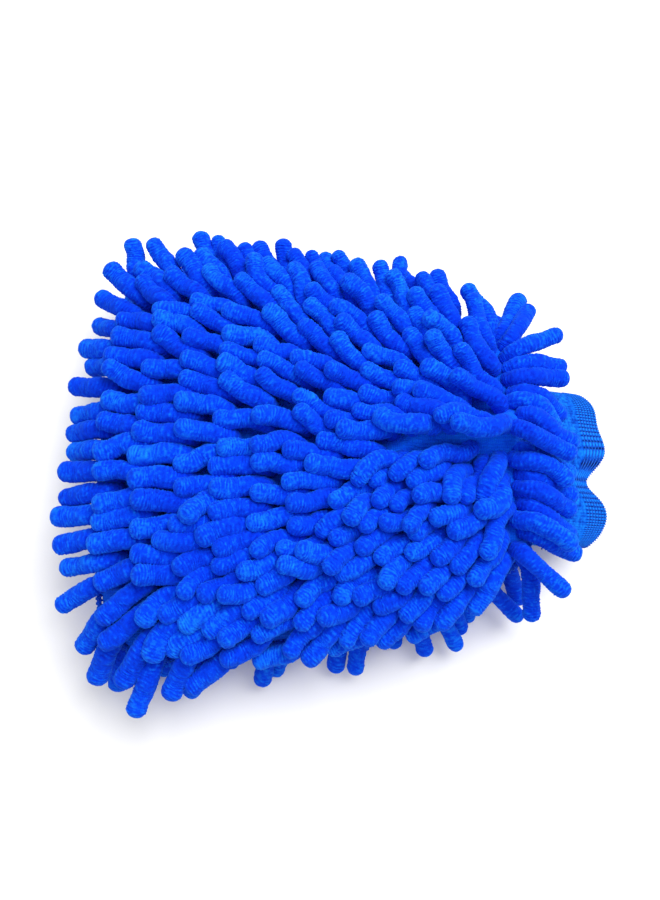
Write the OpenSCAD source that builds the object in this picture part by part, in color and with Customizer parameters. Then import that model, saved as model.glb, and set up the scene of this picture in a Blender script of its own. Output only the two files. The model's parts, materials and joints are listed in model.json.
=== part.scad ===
// Chenille car wash mitt: a bag of two noodle-pile panels with a lining and a knitted elastic cuff.
// Frame: +X from the finger end to the cuff mouth, +Z up, the mitt lying on Z = 0 at its middle.

/* [Bag] */
// Length of the bag along its side, from the wrist seam to the finger end
bag_length = 171; // [167:1:176]
// How far the finger end bows out at its middle
finger_bow = 9; // [5:1:12]
// Radius of the two corners at the finger end
corner_r = 26; // [20:1:30]
// Width of the bag at the wrist seam
wrist_width = 92; // [92:1:96]
// Thickness of the knitted backing that carries the noodles
panel_t = 1.6; // [1.2:0.1:1.8]
// Thickness of the lining
lining_t = 0.8; // [0.6:0.1:1.0]

/* [Noodles] */
// Diameter of one noodle
noodle_d = 8.2; // [7.6:0.1:8.4]
// Length of one noodle from tip to tip
noodle_length = 29; // [26:0.5:30]
// Distance between neighbouring noodles along a row
noodle_pitch = 10.2; // [10:0.1:11]
// Distance between rows
row_pitch = 15.2; // [15:0.1:15.2]

/* [Cuff] */
// Length of the cuff outside the wrist seam
cuff_length = 40; // [38:1:43]
// Width of the flat cuff
cuff_width = 80; // [76:1:82]
// Height of the open cuff
cuff_height = 16.8; // [15:0.1:17]
// Thickness of the cuff's knit
cuff_t = 1.6; // [1.2:0.1:1.8]
// How far the cuff droops at rest, in degrees
cuff_droop = 14; // [12:1:15]
// Number of elastic threads round the mouth
elastic_threads = 6; // [4:1:7]

/* [Hidden] */
seam_x = 80;              // wrist seam, measured from the middle of the mitt
hinge_z = 31;             // height of the middle of the wrist opening
side_z = 25.5;            // height of the side seam over most of the bag
palm_flare = 22;          // how much each side flares out from the wrist to the palm
palm_flare_run = 30;      // over about this length
side_taper = 0.125;       // and how fast each side goes on widening towards the finger end
end_round = 42;           // length over which the bag closes to its finger end
back_rise = 15.5;         // rise of the top panel over the side seam
belly_drop = 6;           // drop of the bottom panel under it
wrist_run = 28;           // length over which the section changes from the wrist's to the bag's
wrist_back_loss = 2.7;    // how much less the top panel rises at the wrist
wrist_belly_gain = 6.8;   // how much more the bottom panel drops there
lining_gap = 0.5;         // space between backing and lining
noodle_r = noodle_d / 2;
axis_length = noodle_length - noodle_d;
root_sink = 0.4;          // how deep a noodle's root is sewn into its backing
floor_flat = 0.5;         // how far a noodle that bears on the ground is pressed flat
wrist_row = 4.5;          // row of noodles that leans out over the cuff
wrist_stand = 22;         // how steeply that row stands, in degrees
first_row = 15;           // first row that leans towards the finger end
rows = 11;                // rows from there on, on each side
end_row = bag_length - 4; // furthest that the last row may be
row_margin = 5;           // bare backing at both ends of a row
end_row_margin = 8;       // and at both ends of the last row
lean_source = 25;         // the pile fans out from a point this far outside the wrist seam
side_turn = 22;           // further turn of the noodles over the side seams, in degrees
parting_y = 20;           // where the pile parts at the wrist
parting_dip = 34;         // how far the parting swings to the other side
parting_dip_s = 77;       // this far behind the wrist seam
parting_dip_run = 45;     // and over this length
arc_steps = 36;           // steps in the table of a row's arc length
jitter_seed = 905;        // picks a scatter in which no two noodles meet
lining_start = 10;        // where the lining starts behind the wrist seam
lining_outer = panel_t + lining_gap;
lining_inner = lining_outer + lining_t;
seam_r = 1.3;             // radius of the bead of stitching along the side and wrist seams
lining_seam_r = 0.6;
edging_r = 1.2;           // radius of the stitching round the cuff's mouth
cuff_tuck = 5;            // how far the cuff's band reaches inside the bag
band_end = cuff_length - 1.3;
elastic_r = 0.45;
elastic_pitch = 1.6;

// ---------------------------------------------------------------- the bag's shape
// s is the distance behind the wrist seam, inset the distance inside the outer face.

function wrist_share(s) = exp(-s / wrist_run);
function end_s(inset) = bag_length - inset;
function corner(s, r, inset) =
    let (past = s - (end_s(inset) - r))
    past <= 0 ? 0 : r - sqrt(max(0, r * r - past * past));
function half_width(s, inset = 0) =
    wrist_width / 2 + palm_flare * (1 - exp(-s / palm_flare_run)) + side_taper * s - inset
        - corner(s, corner_r - inset, inset);
function closing(s, inset) =
    let (past = (s - end_s(inset) + end_round) / end_round)
    past <= 0 ? 1 : sqrt(max(0, 1 - past * past));
function edge_z(s) = side_z + (hinge_z - side_z) * wrist_share(s);
function rise(s) = back_rise - wrist_back_loss * wrist_share(s);
function drop(s) = belly_drop + wrist_belly_gain * wrist_share(s);
// Exponent of the section: near an ellipse over the bag, flatter on top and squarer at the wrist.
function squareness(s) = 2 / (2.05 + 1.6 * exp(-s / 18));

// Point of the bag at station s and angle a round the section: 0 at +Y, 90 at the middle, 180 at -Y.
function bag_point(s, a, side, inset = 0) =
    let (n = squareness(s),
         w = half_width(s, inset),
         h = ((side > 0 ? rise(s) : drop(s)) - inset) * closing(s, inset),
         y = w * sign(cos(a)) * pow(abs(cos(a)), n))
    [seam_x - s - finger_bow * pow(s / bag_length, 3) * (1 - pow(y / 90, 2)), y,
     edge_z(s) + side * h * pow(max(0, sin(a)), n)];

function unit(v) = v / norm(v);
function bag_normal(s, a, side) =
    let (ds = 0.5, da = 0.5,
         along = bag_point(s + ds, a, side) - bag_point(s - ds, a, side),
         across = bag_point(s, a + da, side) - bag_point(s, a - da, side))
    unit(cross(along, across)) * side;

// ---------------------------------------------------------------- sheets

function quad(a, b, c, d) = [[a, b, c], [a, c, d]];
function flip(faces) = [for (f = faces) [f[2], f[1], f[0]]];

// A sheet of cloth over half of the bag, between two insets and from station s0 to the finger end.
module bag_sheet(side, outer, inner, s0, along = 15, across = 16) {
    stations = [for (i = [0 : along]) 1 - pow(1 - i / along, 1.5)];
    layer = (along + 1) * (across + 1);
    points = [for (inset = [outer, inner]) for (t = stations) for (j = [0 : across])
        bag_point(s0 + (end_s(inset) - s0) * t, 180 * j / across, side, inset)];
    function at(k, i, j) = k * layer + i * (across + 1) + j;
    skins = [for (i = [0 : along - 1]) for (j = [0 : across - 1])
        each concat(quad(at(0, i, j), at(0, i, j + 1), at(0, i + 1, j + 1), at(0, i + 1, j)),
                    quad(at(1, i, j), at(1, i + 1, j), at(1, i + 1, j + 1), at(1, i, j + 1)))];
    rims = [for (i = [0 : along - 1])
        each concat(quad(at(0, i, 0), at(0, i + 1, 0), at(1, i + 1, 0), at(1, i, 0)),
                    quad(at(0, i, across), at(1, i, across), at(1, i + 1, across), at(0, i + 1, across)))];
    ends = [for (j = [0 : across - 1])
        each concat(quad(at(0, 0, j), at(1, 0, j), at(1, 0, j + 1), at(0, 0, j + 1)),
                    quad(at(0, along, j), at(0, along, j + 1), at(1, along, j + 1), at(1, along, j)))];
    faces = concat(skins, rims, ends);
    polyhedron(points, side > 0 ? faces : flip(faces));
}

// ---------------------------------------------------------------- beads

// A round bead of thread swept along a list of points; a closed one joins its own end.
module bead(path, r, closed = false, sides = 6) {
    n = len(path);
    function tangent(i) = closed ? unit(path[(i + 1) % n] - path[(i + n - 1) % n])
                                 : unit(path[min(i + 1, n - 1)] - path[max(i - 1, 0)]);
    rings = [for (i = [0 : n - 1])
        let (t = tangent(i), u = unit(cross(t, abs(t.z) > 0.9 ? [1, 0, 0] : [0, 0, 1])), v = cross(t, u))
        for (k = [0 : sides - 1]) path[i] + r * (cos(360 * k / sides) * u + sin(360 * k / sides) * v)];
    last = closed ? n - 1 : n - 2;
    walls = [for (i = [0 : last]) for (k = [0 : sides - 1])
        let (a = i * sides, b = ((i + 1) % n) * sides, k2 = (k + 1) % sides)
        each quad(a + k, a + k2, b + k2, b + k)];
    caps = closed ? [] : [[for (k = [0 : sides - 1]) sides - 1 - k],
                          [for (k = [0 : sides - 1]) (n - 1) * sides + k]];
    polyhedron(rings, concat(walls, caps));
}

// The bag's outline in its edge plane, from the wrist at +Y round the finger end to the wrist at -Y.
function outline(s0, inset, steps = 14, end_steps = 12) =
    let (last = end_s(inset),
         half = [for (i = [0 : steps]) let (t = i / steps) s0 + (last - s0) * (1 - pow(1 - t, 1.8))])
    concat([for (s = half) bag_point(s, 0, 1, inset)],
           [for (j = [1 : end_steps - 1]) bag_point(last, 180 * j / end_steps, 1, inset)],
           [for (i = [0 : steps]) bag_point(half[steps - i], 180, 1, inset)]);

// ---------------------------------------------------------------- noodles

module noodle(root, tip) {
    d = tip - root;
    translate(root) rotate([0, acos(d.z / norm(d)), atan2(d.y, d.x)]) {
        cylinder(h = norm(d), r = noodle_r, $fn = 24);
        sphere(noodle_r, $fn = 24);
        translate([0, 0, norm(d)]) sphere(noodle_r, $fn = 24);
    }
}

// Noodles that bear on the ground are pressed flat there.
module pressed_flat() {
    difference() {
        union() children();
        translate([-200, -200, -40]) cube([400, 400, 40]);
    }
}

// Arc length round half a section from its middle, as a table from length to angle.
function arc_table(s, side) =
    let (pts = [for (i = [0 : arc_steps + 1]) bag_point(s, 90 - 90 * i / arc_steps, side)],
         steps = [for (i = [0 : arc_steps]) norm(pts[i + 1] - pts[i])],
         total = [for (i = 0, sum = 0; i <= arc_steps; sum = sum + steps[i], i = i + 1) sum])
    [for (i = [0 : arc_steps]) [total[i], 90 - 90 * i / arc_steps]];

function jitter(seed) = rands(-1, 1, 3, seed + jitter_seed);

// The pile parts along this line: noodles on its +Y side lean towards +Y, the others towards -Y.
function parting(x) =
    parting_y - parting_dip * exp(-pow((seam_x - parting_dip_s - x) / parting_dip_run, 2));
// Which way a noodle leans: the angle its plan turns from -X towards +Y, fanning out from the wrist.
function heading(x, y, share) =
    atan2(y - parting(x), seam_x + lean_source - x) + side_turn * sign(y) * pow(abs(share), 5);
// How steeply it stands, in degrees: most near the wrist, least over the side seams and the finger end.
function stand(s, share) =
    (36.5 + 30 * exp(-pow((s - first_row) / 14, 2))) * (1 - 0.6 * pow(abs(share), 4))
        * (1 - 0.65 * pow(s / bag_length, 9));

// The noodles of the wrist row fan out the other way, over and under the cuff.
function wrist_heading(y) = 180 - 1.2 * atan2(y, cuff_width / 2);
// Where a row is sewn on, measured along the bag from the wrist seam.
function row_s(i) = i == 0 ? wrist_row : min(end_row, first_row + row_pitch * (i - 1));

// The noodles of one row on one side of the bag, as [root, tip] pairs. Row 0 is the wrist row.
function row_noodles(side, row) =
    let (s = row_s(row),
         table = arc_table(s, side),
         reach = table[arc_steps][0] - (s > end_row - 1 ? end_row_margin : row_margin),
         odd = (row + (side > 0 ? 0 : 1)) % 2 == 0 ? 0.5 : 0,
         count = floor(reach / noodle_pitch - odd + 0.1),
         pitch = reach / (count + odd))
    [for (j = [-count - 2 * odd : count])
        let (arc = (j + odd) * pitch,
             share = arc / reach,
             a = arc >= 0 ? lookup(arc, table) : 180 - lookup(-arc, table),
             noise = jitter(row * 64 + j + 7 * side),
             p = bag_point(s, a, side),
             root = p + bag_normal(s, a, side) * (noodle_r - root_sink),
             turn = (row == 0 ? wrist_heading(p.y) : heading(p.x, p.y, share)) + 1.5 * noise[0],
             lift = side * ((row == 0 ? wrist_stand : stand(s, share)) + noise[1]),
             length = axis_length + 0.8 * noise[2],
             fall = max(length * sin(lift), noodle_r - floor_flat - root.z),
             level = sqrt(length * length - fall * fall))
        [root, root + [-level * cos(turn), level * sin(turn), fall]]];

// ---------------------------------------------------------------- the cuff

// Puts its children in the cuff's frame: origin in the middle of the wrist opening, X out along the cuff.
module in_cuff_frame() translate([seam_x, 0, hinge_z]) rotate([0, cuff_droop, 0]) children();

module slot_outline(w, h) {
    square([w - h, h], center = true);
    for (m = [-1, 1]) translate([m * (w - h) / 2, 0]) circle(d = h, $fn = 64);
}

module slot_tube(x0, x1, w, h, t) {
    translate([x0, 0, 0]) rotate([90, 0, 90]) linear_extrude(x1 - x0) difference() {
        slot_outline(w, h);
        slot_outline(w - 2 * t, h - 2 * t);
    }
}

// A thread laid round the cuff, its centre line on a slot of width w and height h.
module slot_loop(x, w, h, r) {
    translate([x, 0, 0]) {
        for (m = [-1, 1]) translate([0, 0, m * h / 2]) rotate([90, 0, 0])
            cylinder(h = w - h, r = r, center = true, $fn = 24);
        for (m = [0, 180]) rotate([m, 0, 0]) translate([0, (w - h) / 2, 0]) rotate([90, 0, 90])
            rotate([0, 0, -90]) rotate_extrude(angle = 180, $fn = 48)
                translate([h / 2, 0]) circle(r = r, $fn = 24);
    }
}

// ---------------------------------------------------------------- sub-parts

module top_panel() color("royalblue") bag_sheet(1, 0, panel_t, 0);
module bottom_panel() color("royalblue") bag_sheet(-1, 0, panel_t, 0);

module top_lining() color("lightsteelblue")
    bag_sheet(1, lining_outer, lining_inner, lining_start, 12, 14);
module bottom_lining() color("lightsteelblue")
    bag_sheet(-1, lining_outer, lining_inner, lining_start, 12, 14);

module side_seam() color("mediumblue") bead(outline(1, -seam_r - 0.1), seam_r);
module lining_seam() color("lightsteelblue")
    bead(outline(lining_start + 2, lining_inner + lining_seam_r + 0.1), lining_seam_r);
module wrist_seam() color("mediumblue") {
    ring = [for (side = [1, -1]) for (j = [0 : 19])
        bag_point(0, side > 0 ? 9 * j : 180 - 9 * j, side, panel_t / 2) + [seam_r + 0.1, 0, 0]];
    bead(ring, seam_r, closed = true);
}

module cuff_band() color("dodgerblue") in_cuff_frame()
    slot_tube(-cuff_tuck, band_end, cuff_width, cuff_height, cuff_t);
module cuff_edging() color("royalblue") in_cuff_frame()
    slot_loop(cuff_length, cuff_width - cuff_t, cuff_height - cuff_t, edging_r);
module cuff_side_seam() color("royalblue") in_cuff_frame()
    translate([11, -cuff_width / 2 - 0.85, 0]) rotate([0, 90, 0]) cylinder(h = 15, r = 0.8, $fn = 24);
module elastic_thread_rows() color("lightskyblue") in_cuff_frame()
    for (i = [0 : elastic_threads - 1])
        slot_loop(band_end - elastic_pitch * (i + 1), cuff_width + 1, cuff_height + 1, elastic_r);

module noodles(side, row) color("blue") pressed_flat()
    for (p = row_noodles(side, row)) noodle(p[0], p[1]);
module wrist_noodles_top() noodles(1, 0);
module wrist_noodles_bottom() noodles(-1, 0);

// ---------------------------------------------------------------- the model

top_panel();
bottom_panel();
side_seam();
top_lining();
bottom_lining();
lining_seam();
wrist_seam();
cuff_band();
cuff_edging();
cuff_side_seam();
elastic_thread_rows();
wrist_noodles_top();
wrist_noodles_bottom();
for (i = [1 : rows]) noodles(1, i);
for (i = [1 : rows]) noodles(-1, i);
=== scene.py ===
import json
import math

import bpy
import numpy as np
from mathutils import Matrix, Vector


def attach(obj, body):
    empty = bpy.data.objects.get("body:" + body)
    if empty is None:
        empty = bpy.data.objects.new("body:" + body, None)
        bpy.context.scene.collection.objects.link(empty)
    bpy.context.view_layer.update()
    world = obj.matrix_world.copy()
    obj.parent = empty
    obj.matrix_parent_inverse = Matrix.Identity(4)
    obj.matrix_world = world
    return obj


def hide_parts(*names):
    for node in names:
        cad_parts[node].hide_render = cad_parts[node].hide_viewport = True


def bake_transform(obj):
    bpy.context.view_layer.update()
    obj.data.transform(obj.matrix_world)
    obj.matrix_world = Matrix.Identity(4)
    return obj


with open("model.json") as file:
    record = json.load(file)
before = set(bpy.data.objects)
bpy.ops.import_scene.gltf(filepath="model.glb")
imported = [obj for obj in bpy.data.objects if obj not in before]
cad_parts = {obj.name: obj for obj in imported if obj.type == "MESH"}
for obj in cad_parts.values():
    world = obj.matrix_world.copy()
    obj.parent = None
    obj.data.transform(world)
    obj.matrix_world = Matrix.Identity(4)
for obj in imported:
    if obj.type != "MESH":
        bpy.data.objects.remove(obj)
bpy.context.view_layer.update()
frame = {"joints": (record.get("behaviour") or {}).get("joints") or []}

# A chenille wash mitt: soft noodles on a knitted bag, with its lining, its seams and a shirred elastic cuff.
# Shapes are worked out in mm, X from the middle of the mitt out to the cuff, Z up from the ground.
# On the bag, s is the distance behind the wrist seam, and side is 1 for the upper face and -1 for the lower.
RNG = np.random.RandomState(7)
MM = 0.001

# ------------------------------------------------------------------ the bag's shape, as in the CAD
CUFF_FOLD = frame["joints"][0]["pos_m"]
SEAM_X = CUFF_FOLD[0] / MM      # wrist seam, where the cuff folds
HINGE_Z = CUFF_FOLD[2] / MM     # middle of the wrist opening
SIDE_Z = 25.5           # side seam over most of the bag
BAG_LENGTH = 171.0
FINGER_BOW = 9.0        # how far the finger end bows out at its middle
BOW_HALF_WIDTH = 90.0   # half width at which that bow has gone
CORNER_R = 26.0         # corners at the finger end
WRIST_HALF = 46.0       # half width at the wrist seam
PALM_FLARE, PALM_FLARE_RUN, SIDE_TAPER = 22.0, 30.0, 0.125
END_ROUND = 42.0        # length over which the bag closes to its finger end
WRIST_RUN = 28.0        # length over which the section changes from the wrist's to the bag's
BACK_RISE, WRIST_BACK_LOSS = 15.5, 2.7
BELLY_DROP, WRIST_BELLY_GAIN = 6.0, 6.8
PANEL_T, LINING_GAP, LINING_T = 1.6, 0.5, 0.8
LINING_START = 10.0     # the lining begins this far inside the wrist seam
CUFF_LENGTH, CUFF_W, CUFF_H, DROOP = 40.0, 80.0, 16.8, math.radians(14)
ROWS = 11

# where the pile parts, and the fold of backing that rises there, which only the soft bag has
PARTING_Y, PARTING_DIP, PARTING_DIP_S, PARTING_RUN = 20.0, 34.0, 77.0, 45.0
CREST_HEIGHT = 13.0
CREST_WIDTH_ABOVE, CREST_WIDTH_BELOW = 9.0, 5.0
WRIST_BULGE = 2.5


def rise(value, low, high):
    """0 up to low, 1 from high on, and a straight slope between them."""
    return np.clip((value - low) / (high - low), 0, 1)


def wrist_share(s):
    """1 at the wrist seam, fading to 0 inside the bag."""
    return np.exp(-s / WRIST_RUN)


def half_width(s, inset=0.0):
    """Half the bag's width, which flares from the wrist and rounds off at the finger end's corners."""
    r = CORNER_R - inset
    past = np.clip(s - (BAG_LENGTH - inset - r), 0, r)
    corner = r - np.sqrt(np.maximum(r * r - past * past, 0))
    return WRIST_HALF + PALM_FLARE * (1 - np.exp(-s / PALM_FLARE_RUN)) + SIDE_TAPER * s - inset - corner


def closing(s, inset):
    """Share of its depth that the bag still has where it rounds off to the finger end."""
    past = np.clip((s - (BAG_LENGTH - inset) + END_ROUND) / END_ROUND, 0, 1)
    return np.sqrt(1 - past * past)


def edge_z(s):
    """Height of the side seam."""
    return SIDE_Z + (HINGE_Z - SIDE_Z) * wrist_share(s)


def depth(s, side, inset=0.0):
    """How far the middle of a panel stands above or below the side seam."""
    back = BACK_RISE - WRIST_BACK_LOSS * wrist_share(s)
    belly = BELLY_DROP + WRIST_BELLY_GAIN * wrist_share(s)
    return ((back if side > 0 else belly) - inset) * closing(s, inset)


def squareness(s):
    """Power of the section's outline, which is squarish at the wrist and near an ellipse further in."""
    return 2 / (2.05 + 1.6 * np.exp(-s / 18))


def finger_bow(s, y):
    return FINGER_BOW * (s / BAG_LENGTH) ** 3 * (1 - (y / BOW_HALF_WIDTH) ** 2)


def crest_y(x):
    """Where the pile parts: as in the CAD at the finger end, then level, and up again at the wrist seam."""
    slanting = PARTING_Y - PARTING_DIP * np.exp(-(((SEAM_X - PARTING_DIP_S - x) / PARTING_RUN) ** 2))
    level = 1 + 9 * np.exp(np.minimum(x - (SEAM_X + 2), 4) / 6)
    return np.minimum(slanting, level)


def crest_share(x):
    """How far the fold along the parting has risen: all of it near the wrist, none past the middle."""
    return rise(x, 2, 36) * rise(SEAM_X + 8 - x, 0, 14)


def crest_lift(x, y):
    across = y - crest_y(x)
    width = np.where(across > 0, CREST_WIDTH_ABOVE, CREST_WIDTH_BELOW)
    return CREST_HEIGHT * crest_share(x) * np.exp(-((across / width) ** 2))


def wrist_lift(s):
    """The backing bulges just inside the wrist seam, where the noodles of both sides part."""
    return WRIST_BULGE * np.exp(-(((s - 6) / 4) ** 2))


def bag_point(s, a, side, inset=0.0, fold=True):
    """Point of a panel at distance s behind the wrist seam and angle a round its half section."""
    s, a = np.broadcast_arrays(np.asarray(s, float), np.asarray(a, float))
    n = squareness(s)
    c, sn = np.cos(a), np.maximum(np.sin(a), 0)
    y = half_width(s, inset) * np.sign(c) * np.abs(c) ** n
    x = SEAM_X - s - finger_bow(s, y)
    z = edge_z(s) + side * depth(s, side, inset) * sn**n
    if side > 0 and fold:
        z = z + (crest_lift(x, y) + wrist_lift(s)) * np.minimum(1, 2 * sn)
    return np.stack([x, y, z], -1)


def surface_z(x, y, side):
    """Height of a panel's outer face over or under a point, and whether the point is inside the outline."""
    s = np.clip(SEAM_X - x, 0, BAG_LENGTH)
    s = np.clip(s - finger_bow(s, y), 0, BAG_LENGTH)
    n = squareness(s)
    share = np.clip(np.abs(y) / np.maximum(half_width(s), 1e-3), 0, 1)
    z = edge_z(s) + side * depth(s, side) * (1 - share ** (2 / n)) ** (n / 2)
    if side > 0:
        z = z + crest_lift(x, y) + wrist_lift(s)
    return z, (share < 1) & (x < SEAM_X) & (x > SEAM_X - BAG_LENGTH - FINGER_BOW)


# ------------------------------------------------------------------ mesh helpers
UV_PER_MM = 0.01        # texture coordinates along threads, noodles and the cuff


def link(obj):
    bpy.context.scene.collection.objects.link(obj)
    return obj


def make_mesh(name, verts, faces, uv=None, tone_and_painted_shade=None):
    """A smooth mesh object from points in mm; uv and the colour tone with its painted shade are given per
    point.
    """
    me = bpy.data.meshes.new(name)
    verts = np.asarray(verts, float).reshape(-1, 3) * MM
    faces = np.asarray(faces, np.int32)
    corners = faces.shape[1]
    me.vertices.add(len(verts))
    me.vertices.foreach_set("co", verts.ravel())
    me.loops.add(faces.size)
    me.loops.foreach_set("vertex_index", faces.ravel())
    me.polygons.add(len(faces))
    me.polygons.foreach_set("loop_start", np.arange(0, faces.size, corners, dtype=np.int32))
    me.polygons.foreach_set("loop_total", np.full(len(faces), corners, np.int32))
    me.update(calc_edges=True)
    me.validate()
    me.polygons.foreach_set("use_smooth", np.ones(len(me.polygons), bool))
    if uv is not None:
        layer = me.uv_layers.new(name="UVMap")
        index = np.zeros(len(me.loops), np.int32)
        me.loops.foreach_get("vertex_index", index)
        layer.data.foreach_set("uv", np.asarray(uv, float)[index].ravel())
    if tone_and_painted_shade is not None:
        att = me.attributes.new("tone_and_painted_shade", "FLOAT", "POINT")
        att.data.foreach_set("value", np.asarray(tone_and_painted_shade, float))
    return link(bpy.data.objects.new(name, me))


def value_noise(p, size, seed):
    """Smooth noise from 0 to 1 that repeats only after 32 cells."""
    table = np.random.RandomState(seed).rand(32, 32, 32)
    q = np.asarray(p) / size
    i = np.floor(q).astype(int)
    f = q - i
    f = f * f * (3 - 2 * f)
    out = 0.0
    for dx in (0, 1):
        for dy in (0, 1):
            for dz in (0, 1):
                w = (f[..., 0] if dx else 1 - f[..., 0]) * (f[..., 1] if dy else 1 - f[..., 1])
                w = w * (f[..., 2] if dz else 1 - f[..., 2])
                out = out + w * table[(i[..., 0] + dx) % 32, (i[..., 1] + dy) % 32, (i[..., 2] + dz) % 32]
    return out


def grid_faces(rows, cols, wrap=False):
    i = np.arange(rows - 1)[:, None]
    j = np.arange(cols if wrap else cols - 1)[None, :]
    a, b = i * cols + j, i * cols + (j + 1) % cols
    return np.stack([a, b, b + cols, a + cols], -1).reshape(-1, 4)


def grid_area(grid):
    """Area in square metres of a grid of points in mm."""
    down, right = grid[1:, :-1] - grid[:-1, :-1], grid[:-1, 1:] - grid[:-1, :-1]
    return float(np.linalg.norm(np.cross(down, right), axis=-1).sum() * MM * MM)


def thick_sheet(name, outer, inner, wrap=False, uv=None):
    """A closed sheet from two grids of points, joined round their open edges."""
    rows, cols = outer.shape[:2]
    n = rows * cols
    ring = np.arange(cols)
    nxt = (ring + 1) % cols if wrap else ring[1:]
    ring = ring if wrap else ring[:-1]
    last = (rows - 1) * cols
    rims = [np.stack([ring, ring + n, nxt + n, nxt], -1)]
    rims.append(np.stack([last + ring, last + nxt, last + nxt + n, last + ring + n], -1))
    if not wrap:
        i = np.arange(rows - 1) * cols
        rims.append(np.stack([i, i + cols, i + cols + n, i + n], -1))
        k = i + cols - 1
        rims.append(np.stack([k, k + n, k + cols + n, k + cols], -1))
    faces = grid_faces(rows, cols, wrap)
    faces = np.concatenate([faces, faces[:, ::-1] + n] + rims)
    points = np.concatenate([outer.reshape(-1, 3), inner.reshape(-1, 3)])
    uvs = None if uv is None else np.concatenate([uv.reshape(-1, 2)] * 2)
    return make_mesh(name, points, faces, uvs)


def crosswise(tangent):
    """Two unit vectors square to each tangent of a path."""
    up = np.where(np.abs(tangent[:, 2:3]) > 0.9, [[1.0, 0, 0]], [[0, 0, 1.0]])
    u = np.cross(tangent, up)
    u /= np.linalg.norm(u, axis=1, keepdims=True)
    return u, np.cross(tangent, u)


def unit_rows(v):
    return v / np.linalg.norm(v, axis=1, keepdims=True)


def sweep(name, path, r, sides=10, closed=False, twist=0.0, lobes=0, lobe_depth=0.0):
    """A round or lobed cord along a path of points, for seams and threads."""
    path = np.asarray(path, float)
    n = len(path)
    ahead = np.roll(path, -1, 0) - np.roll(path, 1, 0) if closed else np.gradient(path, axis=0)
    u, v = crosswise(unit_rows(ahead))
    step = np.linalg.norm(np.diff(path, axis=0, append=path[:1] if closed else path[-1:]), axis=1)
    run = np.concatenate([[0], np.cumsum(step)[:-1]])
    ang = np.linspace(0, 2 * np.pi, sides, endpoint=False)
    phase = ang[None, :] + twist * run[:, None]
    rad = r * (1 + lobe_depth * np.cos(lobes * phase))
    around = np.cos(ang)[None, :, None] * u[:, None] + np.sin(ang)[None, :, None] * v[:, None]
    pts = (path[:, None] + rad[..., None] * around).reshape(-1, 3)
    uv = np.stack(np.broadcast_arrays(ang[None, :] / (2 * np.pi), run[:, None] * UV_PER_MM), -1)
    uv = uv.reshape(-1, 2)
    faces = grid_faces(n, sides, True)[:, ::-1]
    j = np.arange(sides)
    nxt = (j + 1) % sides
    if closed:
        a = (n - 1) * sides
        faces = np.concatenate([faces, np.stack([a + j, j, nxt, a + nxt], -1)])
    else:
        pts = np.concatenate([pts, path[:1], path[-1:]])
        uv = np.concatenate([uv, uv[:1], uv[-1:]])
        k = n * sides
        start = np.stack([j, nxt, np.full(sides, k)], -1)
        end = np.stack([k - sides + nxt, k - sides + j, np.full(sides, k + 1)], -1)
        faces = np.concatenate([faces[:, [0, 1, 2]], faces[:, [0, 2, 3]], start, end])
    return make_mesh(name, pts, faces, uv)


# ------------------------------------------------------------------ materials
def new_material(name, roughness=0.9, sheen=0.5, sheen_tint=(0.1, 0.45, 1.0, 1)):
    mat = bpy.data.materials.new(name)
    mat.use_nodes = True
    nt = mat.node_tree
    bsdf = nt.nodes["Principled BSDF"]
    bsdf.inputs["Roughness"].default_value = roughness
    bsdf.inputs["Specular IOR Level"].default_value = 0.08
    bsdf.inputs["Sheen Weight"].default_value = sheen
    bsdf.inputs["Sheen Roughness"].default_value = 0.45
    bsdf.inputs["Sheen Tint"].default_value = sheen_tint
    return mat, nt, bsdf


def math_node(nt, op, a, b=None, clamp=False):
    n = nt.nodes.new("ShaderNodeMath")
    n.operation, n.use_clamp = op, clamp
    for i, v in enumerate((a, b)):
        if isinstance(v, (int, float)):
            n.inputs[i].default_value = v
        elif v is not None:
            nt.links.new(v, n.inputs[i])
    return n.outputs[0]


def times(nt, a, b, clamp=False):
    return math_node(nt, "MULTIPLY", a, b, clamp)


def plus(nt, a, b):
    return math_node(nt, "ADD", a, b)


def weighted(nt, *parts):
    """Sum of values, each times its weight."""
    total = times(nt, *parts[0])
    for value, weight in parts[1:]:
        total = plus(nt, total, times(nt, value, weight))
    return total


def noise(nt, coords, scale, detail=2.0, rough=0.5):
    n = nt.nodes.new("ShaderNodeTexNoise")
    n.inputs["Scale"].default_value = scale
    n.inputs["Detail"].default_value = detail
    n.inputs["Roughness"].default_value = rough
    nt.links.new(coords, n.inputs["Vector"])
    return n.outputs["Fac"]


def ramp(nt, fac, stops):
    n = nt.nodes.new("ShaderNodeValToRGB")
    el = n.color_ramp.elements
    el[0].position, el[0].color = stops[0]
    el[1].position, el[1].color = stops[-1]
    for pos, col in stops[1:-1]:
        el.new(pos).color = col
    nt.links.new(fac, n.inputs["Fac"])
    return n.outputs["Color"]


def bump(nt, bsdf, height, strength, distance):
    n = nt.nodes.new("ShaderNodeBump")
    n.inputs["Strength"].default_value = strength
    n.inputs["Distance"].default_value = distance
    nt.links.new(height, n.inputs["Height"])
    nt.links.new(n.outputs["Normal"], bsdf.inputs["Normal"])


def scaled(nt, vector, scale):
    n = nt.nodes.new("ShaderNodeVectorMath")
    n.operation = "MULTIPLY"
    nt.links.new(vector, n.inputs[0])
    n.inputs[1].default_value = scale
    return n.outputs["Vector"]


def object_coords(nt):
    return nt.nodes.new("ShaderNodeTexCoord").outputs["Object"]


def uv_coords(nt):
    return nt.nodes.new("ShaderNodeUVMap").outputs["UV"]


def split(nt, vector):
    """A vector's X, Y and Z."""
    n = nt.nodes.new("ShaderNodeSeparateXYZ")
    nt.links.new(vector, n.inputs[0])
    return n.outputs


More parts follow.
